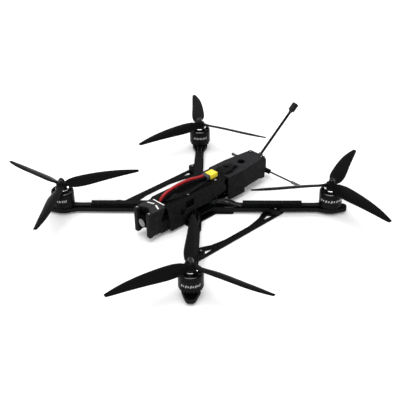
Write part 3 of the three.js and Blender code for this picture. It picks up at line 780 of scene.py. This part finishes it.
BELL_MARKS = {  # which way the mark faces, its middle height, and how far it reaches each way
    "front_left": (-46.0, 25.4, 46),
    "front_right": (-57.0, 27.6, 37),
    "rear_left": (-49.0, 27.9, 58),
    "rear_right": (-42.4, 27.7, 38),
}
STROKES = 9
STROKE_STEP, STROKE_WIDTH = 0.24, 0.12     # shares of the reach
STROKE_HALVES = (2.1, 1.4)                 # half heights, in turn
STROKE_SLANT = math.radians(2.2)           # for each millimetre of half height


def bell_strokes(corner):
    """A plain row of slanted strokes round the bell, in place of the maker's lettering."""
    facing, middle, reach = BELL_MARKS[corner]
    starts = [min(STROKE_STEP * i - 1.0, 1.0 - STROKE_WIDTH) for i in range(STROKES)]
    return [bell_stroke(facing + start * reach, facing + (start + STROKE_WIDTH) * reach, middle,
                        STROKE_HALVES[i % 2]) for i, start in enumerate(starts)]


BASE_PROFILE = [
    (3.1, 10.8), (12.6, 10.8), (13.0, 11.1), (13.0, 11.9), (16.9, 14.4), (17.3, 14.9),
    (17.3, 15.3), (14.4, 15.3), (14.4, 14.6), (6.4, 13.4), (6.4, 30.0), (5.8, 36.0), (3.1, 36.0),
]


def add_motor_base(corner):
    fin = block((12.4, -0.8, 10.9), (16.2, 0.8, 14.4), 0.25, 1)
    core = lathe([(5.9, 17.2), (8.6, 17.2), (8.6, 32.2), (5.9, 32.2)], 36)
    tooth = block((8.2, -1.1, 17.5), (13.4, 1.1, 32), 0.2, 1)
    shoe = block((13.2, -3.1, 17.5), (14.4, 3.1, 32), 0.3, 1)
    coils = joined([block((level, -2.15, 16.4), (level + 0.95, 2.15, 33.1), 0.45, 2)
                    for level in (9.2, 10.3, 11.4, 12.4)])
    stator = [core, *ring_of(TEETH, tooth), *ring_of(TEETH, shoe)]
    for name, meshes, look, slot, node in (
        # The base cone, under the bell, takes the near-black shade finish: painted shade.
        ("base_cone", [lathe(BASE_PROFILE, 60)], "hollow", "motor_base", "motor_base"),
        ("base_fins", ring_of(BASE_FINS, fin, math.pi / BASE_FINS), "bell", "motor_base", None),
        ("stator", stator, "dark_steel", "motor_base", None),
        ("windings", ring_of(TEETH, coils), "copper", "brass", None),
    ):
        add_motor_piece(corner, name, meshes, look, node, turns=False)


# -------- arms and their wires

ARM_LOW, ARM_HIGH = 3.3, 10.5
ARM_HALF = 8.0


def arm_outline(ear_side):
    root = 0.55
    plain = [
        (root + ARM_HALF, ARM_HALF, 0), (146, ARM_HALF, 20), (174, 7.3, 20), (191, 7.5, 12),
        (206, 13.0, 11), (216, 13.4, 8), (234.2, 7.0, 6), (238.1, 4.0, 3),
    ]
    ear = [(116.5, ARM_HALF, 4), (119.6, 17.0, 6.5), (131.4, 17.0, 6.5), (134.5, ARM_HALF, 4)]
    side_with_ear = [plain[0], *ear, *plain[1:]]
    upper, lower = (side_with_ear, plain) if ear_side > 0 else (plain, side_with_ear)
    walk = [(root, 0, 0), *[(x, -y, r) for x, y, r in lower], *reversed(upper)]
    return rounded(walk, 7)


MOTOR_SCREWS = circle(MOTOR_REACH, 0, 9.5, 4, math.pi / 4)


def screw(x, y, top, radius, height):
    """A button-head screw standing up from a face, with its hexagon socket."""
    dome = [(0, -1.2), (radius * 0.55, -1.2), (radius * 0.55, 0), (radius, 0),
            (radius, height * 0.35), (radius * 0.86, height * 0.75), (radius * 0.6, height),
            (radius * 0.42, height), (radius * 0.40, height * 0.3), (0, height * 0.3)]
    return shifted(lathe(dome, 28), x, y, top)


def add_screws(name, places, top, radius, height, look="screw_head"):
    """Screws standing up from a level face, as one piece."""
    heads = [screw(x, y, top, radius, height) for x, y in places]
    add_piece(name, heads, look)


def add_arm(corner):
    sx, sy, _, _ = CORNERS[corner]
    holes = [circle(MOTOR_REACH, 0, 4.5), *[circle(x, y, 1.7, 16) for x, y in MOTOR_SCREWS]]
    arm = plate(arm_outline(-sx * sy), holes, ARM_LOW, ARM_HIGH, 0.35)
    add_arm_piece(corner, "arm_cut", [arm], "carbon_arm", "arm")
    add_arm_cover(corner)
    add_motor_wires(corner)
    head = lathe([(0, 1.2), (1.4, 1.2), (1.4, 0), (2.6, 0), (2.6, -1.6), (2.2, -2.0),
                  (1.2, -2.0), (1.2, -0.8), (0, -0.8)], 20)
    screws = [shifted(head.copy(), x, y, ARM_LOW) for x, y in MOTOR_SCREWS]
    add_arm_piece(corner, "motor_screws", screws, "dark_steel")


COVER_START, COVER_END = 74.0, 167.5
COVER_HALF, COVER_INNER, COVER_TOP = 6.0, 4.7, 17.1


def add_arm_cover(corner):
    """A moulded channel with rounded shoulders over the wires."""
    low, rise, shoulder, roof = 10.8, 0.4, COVER_HALF - 0.3, COVER_TOP - 1.1
    outer = [(COVER_HALF, low + rise, 0), (shoulder, COVER_TOP, 1.3)]
    inner = [(COVER_INNER, low + rise, 0), (COVER_INNER, roof, 0.8)]
    section = [(COVER_HALF, low), *rounded(with_mirror(outer, sx=-1), 5), (-COVER_HALF, low),
               (-COVER_INNER, low), *reversed(rounded(with_mirror(inner, sx=-1), 4)),
               (COVER_INNER, low)]
    channel = panel(section, [], COVER_START, COVER_END, 0.25)
    add_arm_piece(corner, "cover_channel", [channel], "printed_soft", "arm_cover")


def add_motor_wires(corner):
    """Three silicone wires from the speed controller, through the cover, to the motor."""
    wires = []
    sx, sy, _, _ = CORNERS[corner]
    for i, lane in enumerate((-2.9, 0.0, 2.9)):
        wobble = 0.5 * math.sin(1.7 * i + sx + 2 * sy)
        spread = lane * (1.9 + 0.3 * math.sin(2.1 * i + sy))
        arch = 1.6 * math.sin(1.3 + 2.2 * i + sx)
        route = [
            (30, lane * 1.4, 18.6), (37, spread * 0.9, 18.9), (44, spread, 18.2 + arch),
            (52, spread, 16.0 + arch), (60, lane * 1.5, 14.0 + arch * 0.4), (67, lane * 1.1, 12.9),
            (74, lane, 12.6), (120, lane, 12.6),
            (165, lane, 12.6), (172, lane, 12.7), (180, lane * 0.98 + wobble, 12.5),
            (188, lane + wobble, 12.6), (193, lane * 1.1, 12.8), (198, lane * 1.15, 13.0),
        ]
        wires.append(tube(smooth_path(route, 5), 1.4, 12))
    add_arm_piece(corner, "phase_wires", wires, "wire", "motor_wires")


for corner_name in CORNERS:
    add_propeller(corner_name)
    add_bell(corner_name)
    add_motor_base(corner_name)
    add_arm(corner_name)

# -------- braces and plates

BRACE_HIGH = 3.0
BRACE_SCREW = (96.5, 81)
PLATE_TOP = 50.4


def add_brace(name, side):
    half = [(102.5, 94, 6), (98.5, 98.5, 4), (79.5, 79.5, 3), (80.6, 67, 10), (87.5, 52, 14),
            (92, 26, 30)]
    outline = rounded([(side * x, y, r) for x, y, r in with_mirror(half, sy=-1)], 7)
    window = [(95.6, 51, 1.5), (89.6, 69, 1.8), (98.2, 75, 1.8)]
    screws = [(side * BRACE_SCREW[0], end * BRACE_SCREW[1]) for end in (-1, 1)]
    holes = [rounded([(side * x, end * y, r) for x, y, r in window], 4) for end in (-1, 1)]
    holes.extend(bolt_hole(x, y) for x, y in screws)
    add_piece(f"{name}_cut", plate(outline, holes, 0, BRACE_HIGH), "carbon_plate",
              stands_for=name)
    add_screws(f"{name}_screws", screws, ARM_HIGH, 3.0, 1.7, "dark_steel")
    # Painted highlight: a small pale steel cap on each dark head gives it a bright spot.
    add_screws(f"{name}_glint_caps", screws, ARM_HIGH + 1.0, 1.5, 0.9, "steel")


add_brace("left_brace", 1)
add_brace("right_brace", -1)


def add_bottom_plate():
    """An X-shaped plate with rounded lobes under the arm roots."""
    waist_x, waist_y, reach, half, bolts = 29, 40, 60, 9.5, 15.25
    far, near = (reach + half) / math.sqrt(2), (reach - half) / math.sqrt(2)
    spread = half * math.sqrt(2)
    quarter = [(waist_x, waist_x - spread, 5), (far, near, 4), (near, far, 4),
               (waist_y - spread, waist_y, 5)]
    outline = rounded(with_mirror(with_mirror(quarter, sx=-1), sy=-1), 5)
    holes = [bolt_hole(x, y) for x in (-bolts, bolts) for y in (-bolts, bolts)]
    add_piece("bottom_plate_cut", plate(outline, holes, 0, BRACE_HIGH), "carbon_plate",
              stands_for="bottom_plate")


add_bottom_plate()


def add_top_plate():
    half, nose, tail = 20.3, -78.5, 49.8
    left = [(half - 2.5, nose, 2), (half, nose + 5.5, 3), (half, tail, 2.5)]
    outline = rounded(with_mirror(left, sx=-1), 5)
    screws = [(s * x, y) for s in (-1, 1) for x, y in ((13.8, -29.8), (12.8, 30.5))]
    holes = [rounded_box(s * 14, 0, s * 17, 20, 1.5, 4) for s in (-1, 1)]
    holes.append(rounded_box(-5.6, -74.6, 5.6, -65, 3, 5))
    holes.extend(bolt_hole(x, y) for x, y in screws)
    add_piece("top_plate_cut", plate(outline, holes, PLATE_TOP - 2.5, PLATE_TOP),
              "carbon_plate", stands_for="top_plate")
    add_screws("top_plate_screws", screws, PLATE_TOP, 2.7, 1.4)
    # Painted shade: a near-black sheet laid on the top plate under the arched battery leads.
    lead_shade_patch = rounded([(-12, -40, 4), (13.5, -40, 4), (15.5, -12, 5), (8, 3, 3), (-9, 3, 3)], 5)
    add_piece("top_plate_lead_shade", plate(lead_shade_patch, [], PLATE_TOP - 0.1, PLATE_TOP + 0.15, 0.05),
              "hollow")
    add_piece("battery_strap_under_plate", block((-17.4, 1, 46.6), (17.4, 19, 47.5), 0.3),
              "strap")
    arcs = []
    for k in range(3):
        route = [(5 - 3 * k, -66 + k, 51), (10.5 - 2 * k, -52, 52.3 + k),
                 (14.5 - 2.2 * k, -30, 52.4 + k), (12.5 - 1.6 * k, -6, 52.4 + k),
                 (8.5 - 1.5 * k, 16, 51.6)]
        arcs.append(tube(smooth_path(route, 6), 0.9, 10))
    add_piece("top_plate_wires", arcs, "wire")


add_top_plate()

# -------- nose, sides and tail details

NOSE_FRONT = -112.0
SHELL_FRONT = NOSE_FRONT + 7.4
NOSE_TOP = 50.2


def add_nose():
    """Two rounded columns either side of the lens, the ribbed shell behind them and its roof."""
    column = block((10.2, NOSE_FRONT, 8.0), (17.9, NOSE_FRONT + 7.8, NOSE_TOP), 2.0, 4)
    side = rounded([(SHELL_FRONT, 9.4, 0.8), (-86.5, 9.0, 0.8), (-86.5, 33.5, 2), (-79, 46, 2),
                    (-79, 50, 0.5), (SHELL_FRONT, 50, 0.5)], 4)
    inside = panel(side, [circle(-98, 29, 2.4, 20)], 11, 15.6, 0.3)
    outside = panel(side, [], 15.4, 17.3, 0.4)
    ribs = [block((17.0, y, 12), (17.65, y + 1.5, 47), 0.3)
            for y in (-102.6, -99.3, -96, -92.7, -89.4)]
    teeth = [block((15.2, 3.1 * i - 86.2, 6.2), (16.9, 3.1 * i - 84.6, 25.5)) for i in range(6)]
    notch = [(9.6 * math.cos(a), SHELL_FRONT + 0.8 + 5.2 * math.sin(a))
             for a in (math.pi * k / 14 for k in range(15))]
    roof_outline = [(-17.2, -79), (-17.2, SHELL_FRONT + 0.8), *reversed(notch),
                    (17.2, SHELL_FRONT + 0.8), (17.2, -79)]
    roof = plate(roof_outline, [], 44.4, NOSE_TOP, 0.5)
    brow = tube([(x * 1.02, y - 0.3, 50.0) for x, y in notch], 1.0, 10)
    tongue = block((-9, -80, 44), (9, -75.6, 47.6))
    whole = [*both_sides([column, outside, *ribs, *teeth]), roof, brow, tongue]
    add_piece("nose_shell", whole, "printed_nose", stands_for="nose_cage")
    # Painted shade: the shell's inner walls, the blocks at its foot and a ceiling under the roof, all
    # in the near-black shade finish.
    base = [block((11, -87.5, 5.6), (15.3, -78.8, 35)), block((11, -79.8, 5.6), (15.3, -69, 10.2)),
            block((11, -79.8, 13.3), (15.3, -69, 33.5))]
    ceiling = block((-11, -104, 43.6), (11, -79, 44.5), 0.1)
    add_piece("nose_inside_shade", [*both_sides([inside, *base]), ceiling], "hollow")
    add_screws("nose_screws", [(s * 13.9, NOSE_FRONT + 3.8) for s in (-1, 1)], NOSE_TOP, 1.6, 0.5)


def add_lens():
    """The lens: a black barrel with a smaller glass face."""
    low, high = (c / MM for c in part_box("camera_lens"))
    y, z = (low.y + high.y) / 2, (low.z + high.z) / 2
    half = (high.y - low.y) / 2
    barrel = lathe([(0, -half), (7.2, -half), (7.9, -half + 0.8), (7.9, half - 0.5), (7.4, half),
                    (6.9, half), (6.7, half - 0.6), (0, half - 0.6)])
    add_piece("lens_barrel", aimed(barrel, (0, y, z), (0, -1, 0)), "chip", "camera",
              "camera_lens")
    glass = lathe([(0, half - 1.2), (6.75, half - 1.2), (6.75, half - 0.45), (4.5, half + 0.05),
                   (2.2, half + 0.3), (0, half + 0.4)])
    add_piece("lens_face", aimed(glass, (0, y - 0.1, z), (0, -1, 0)), "lens", "camera")


def stripe(start, end, width, level):
    """A plain painted bar between two points on a level face."""
    a, b = Vector(start), Vector(end)
    side = Vector((-(b - a).y, (b - a).x)).normalized() * width / 2
    corners = [a - side, b - side, b + side, a + side]
    return plate([(c.x, c.y) for c in corners], [], level - 0.1, level + 0.12, 0.03)


def add_nose_stripes():
    """Three plain stripes, in place of the mark on the nose."""
    bars = [stripe(*bar) for bar in (
        ((-12.8, -88.6), (-1.8, -84.2), 2.2, NOSE_TOP), ((3.0, -85.2), (14.0, -89.8), 2.4, NOSE_TOP),
        ((-12.5, -77.2), (12.0, -76.6), 1.9, PLATE_TOP))]
    add_piece("nose_stripes", bars, "white_mark")


def add_side_panel(node, side):
    """A printed side: arched over the arm root, with a window and a slot ahead of the tail."""
    front, top = -77.5, 47.6
    outline = rounded([
        (front, top, 0.6), (front + 3.6, 31, 6), (front + 4.5, 6.5, 4), (front + 7.5, 4.3, 1.5),
        (-45, 4, 2), (-37.5, 15.5, 3), (-30, 20.8, 3), (14.6, 22.7, 8), (39, 26.5, 8),
        (47.5, 28.5, 1), (47.5, 38, 0.5), (44, 38, 0.5), (44, top, 0.6),
    ], 4)
    wall = panel(outline, [rounded_box(-40, 30, -23, 44, 1.5, 4)], 17.8, 20.6, 0.5)
    trim = [block((20.2, y0, z0), (x, y1, z1), 0.25) for y0, z0, x, y1, z1 in (
        (-41.4, 28.6, 20.95, -40, 45.4), (-23, 28.6, 20.95, -21.6, 45.4),
        (-41.4, 44, 20.95, -21.6, 45.4), (-60.4, 7, 20.8, -59.2, 44))]
    trim.append(block((20.2, -70, 45.6), (20.9, 42, 47.0), 0.3))
    ring = lathe([(3.1, 0), (4.6, 0), (4.6, 0.9), (4.2, 1.2), (3.4, 1.2), (3.1, 0.9)], 36)
    sideways = Matrix.Rotation(math.pi / 2, 4, "Y")
    # Near-black pieces: a sheet behind the window and a patch on the panel's outer face are painted
    # shade; the ring on the sheet stands for a socket.
    dark = [block((16.2, -42.5, 27.5), (16.85, -20.5, 46.6), 0.2),
            shifted(moved(ring, sideways), 16.7, -30.5, 38.0),
            block((20.4, -50.5, 24), (20.75, -43.0, 33.5), 0.15)]
    shell = [wall, *trim]
    if side < 0:
        shell, dark = [*map(mirror, shell)], [*map(mirror, dark)]
    add_piece(f"{node}_shell", shell, "printed", stands_for=node)
    add_piece(f"{node}_socket", dark, "hollow")


LOOSE_WIRES = [  # routes on the left; the right side has their mirror images
    [(18, 17, 18), (21, 26, 18.5), (24, 34, 18.6), (30.5, 41, 18), (41, 44.5, 16.8), (53, 46, 14.5)],
    [(20, 15, 17), (27, 24, 19), (33, 32, 19.6), (42, 36.5, 18.8), (50.5, 39.5, 17), (57, 44, 14.8)],
    [(20, 20, 18.5), (29, 30, 20.2), (38, 33.5, 20), (47, 36.5, 18), (54, 43, 15.5)],
    [(20, 20, 13), (29, 24, 11.6), (39, 29.5, 11.4), (46, 37.5, 11.4), (48.5, 45, 12), (50, 52, 13.5)],
]


def add_loose_wires():
    """Thin signal wires that loop out over the rear arm roots, and the pins they leave from."""
    loops, pins = [], []
    for side in (-1, 1):
        for route in LOOSE_WIRES:
            loops.append(tube(smooth_path([(side * x, y, z) for x, y, z in route], 6), 0.75, 10))
        for y, z in ((42, 20.6), (47.7, 19.1), (53.4, 18)):
            pins.append(tube([(side * 16, y, z - 1.2), (side * 16, y, z + 0.7)], 0.65, 8))
    add_piece("signal_wires", loops, "signal")
    add_piece("controller_pins", pins, "screw_head")


def ribbon(path, across, width, thick):
    """A flat strap swept along a path, its width held along one direction."""
    centre = smooth_path(path, 7)
    side = Vector(across).normalized() * width / 2
    points = []
    for i, here in enumerate(centre):
        up = heading_at(centre, i).cross(side).normalized() * thick / 2
        points.extend([here - side - up, here + side - up, here + side + up, here - side + up])
    return bevelled(skinned(points, 4), 0.3, 1, 50)


STRAP = [  # each fold's route and its painted shadow's route, which way their width runs, and the two widths
    ([(-1, 52, 51.2), (-1, 57, 52.8), (-1.5, 62.5, 53.6), (-2, 67.5, 51.4), (-1, 73, 53.0),
      (0, 79, 52.4), (1, 86, 50.9)],
     [(-1, 56, 52.2), (-1.5, 62.5, 53.0), (-2, 67.5, 51.6), (-1, 73, 52.4), (0, 79, 51.9)],
     (1, 0.05, 0), 17, 19.2),
    ([(8.5, 51.5, 51.4), (9, 58, 53.2), (9.5, 64.5, 53.8), (6.5, 71, 54.6), (3.5, 77.5, 54.0),
      (2.5, 84, 51.4)],
     [(8.5, 51.5, 51.8), (9, 58, 53.2), (9.5, 64.5, 53.8), (6.5, 71, 54.6), (3.5, 77.5, 54.0),
      (2.5, 85, 51.6)],
     (1, 0.45, 0.1), 8, 11.5),
    ([(-9, 66, 51.2), (-5.5, 70.5, 53.6), (-0.5, 74.5, 54.6), (4, 75.5, 54.4)],
     [(-10.5, 64.5, 51.8), (-5.5, 70.5, 53.7), (-0.5, 74.5, 54.6), (5.5, 76, 54.2)],
     (-0.4, 1, 0), 7, 10.0),
]


def add_strap():
    """The battery strap's loose end, in soft folds on the tail's roof, over wider near-black ribbons
    that paint the shade round and under each fold.
    """
    drop = 0.9
    folds, fold_shadows = [], []
    for route, shadow_route, across, width, shadow_width in STRAP:
        folds.append(ribbon(route, across, width, 1.0))
        # Painted shadow: each fold gets a wider, slightly lower near-black ribbon under it.
        lowered = [(x, y, z - drop) for x, y, z in shadow_route]
        fold_shadows.append(ribbon(lowered, across, shadow_width, 0.5))
    # Painted shade: a near-black sheet on the roof beside the plug.
    fold_shadows.append(block((-10, 44.6, 50.3), (-2.5, 51.5, 50.75), 0.1))
    add_piece("battery_strap_folds", folds, "strap", stands_for="battery_strap")
    add_piece("battery_strap_shadows", fold_shadows, "hollow")


def add_tail_details():
    """Screws in rims at the roof's rear corners, and a rim round the roof's hole."""
    screws = [(s * 12.2, 137.8) for s in (-1, 1)]
    add_screws("tail_screws", screws, PLATE_TOP, 2.1, 1.0)
    rim = lathe([(2.4, 50.0), (3.2, 50.0), (3.2, 51.2), (2.9, 51.5), (2.4, 51.5)], 32)
    hole_rim = lathe([(5.9, 50.2), (7.0, 50.2), (6.8, 50.8), (6.0, 50.8)], 40)
    rims = [*[shifted(rim.copy(), x, y) for x, y in screws], shifted(hole_rim, 0, 102)]
    add_piece("tail_rims", rims, "printed_soft")


add_nose()
add_lens()
add_nose_stripes()
add_side_panel("left_side_panel", 1)
add_side_panel("right_side_panel", -1)
add_loose_wires()
add_strap()
add_tail_details()

# -------- kept CAD nodes


def dress(node, look, bevel):
    """A carried-over CAD node: its shape is right, so it gets its finish and softened edges."""
    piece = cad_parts[node]
    piece.data.materials.clear()
    piece.data.materials.append(FINISH[look])
    if bevel:
        rounding = piece.modifiers.new("rounded_edges", "BEVEL")
        rounding.width = bevel * MM
        rounding.segments = 2
        rounding.limit_method = "ANGLE"
        rounding.angle_limit = math.radians(32)
    return piece


def thicken(piece, by):
    sleeve = piece.modifiers.new("sleeve_thickness", "DISPLACE")
    sleeve.strength = by * MM
    sleeve.mid_level = 0.0


for end in ("left_front", "right_front", "left_rear", "right_rear"):
    dress(f"{end}_standoff", "dark_steel", 0.3)
for node in ("antenna_stalk", "receiver_antenna"):
    thicken(dress(node, "sleeve", 0), 0.45)
for node, look, bevel in (
    ("mid_plate", "carbon_plate", 0.25),
    ("tail_housing", "printed", 0.6),
    ("camera_body", "chip", 0.6),
    ("speed_controller", "board", 0.2),
    ("flight_controller", "board", 0.2),
    ("video_transmitter", "dark_steel", 0.6),
    ("receiver", "board", 0.2),
    ("capacitor", "sleeve", 0.8),
    ("antenna_connector", "dark_steel", 0.2),
    ("antenna_cap", "sleeve", 1.2),
    ("receiver_antenna_holder", "printed_soft", 0.5),
):
    dress(node, look, bevel)

# -------- stage


def add_stage():
    """A plain white floor and soft light from all round, with one large lamp above."""
    mesh = bpy.data.meshes.new("floor")
    size, level = 6.0, -0.0004
    mesh.from_pydata([(-size, -size, level), (size, -size, level), (size, size, level),
                      (-size, size, level)], [], [(0, 1, 2, 3)])
    floor = add_object("floor", mesh)
    paper = Shader("floor_paper")
    paper.set(colour=(0.92, 0.92, 0.92), rough=0.9, specular=0.1, glow=0.12, glow_colour=(1, 1, 1))
    mesh.materials.append(paper.material)
    lamps = [  # place in metres, size, power
        ((0.3, -0.5, 2.6), 2.4, 54.0),
        ((-1.6, 1.2, 2.0), 1.6, 16.0),
    ]
    for i, (place, size, power) in enumerate(lamps):
        light = bpy.data.lights.new(f"softbox_{i}", "AREA")
        light.size = size
        light.energy = power
        lamp = add_object(f"softbox_{i}", light)
        lamp.location = place
        lamp.rotation_mode = "QUATERNION"
        lamp.rotation_quaternion = Vector(place).to_track_quat("Z", "Y")
    world = bpy.data.worlds.new("studio")
    world.use_nodes = True
    sky = world.node_tree.nodes["Background"].inputs
    sky["Color"].default_value = (1, 1, 1, 1)
    sky["Strength"].default_value = 0.72
    bpy.context.scene.world = world
    bpy.context.scene.view_settings.view_transform = "Standard"


add_stage()
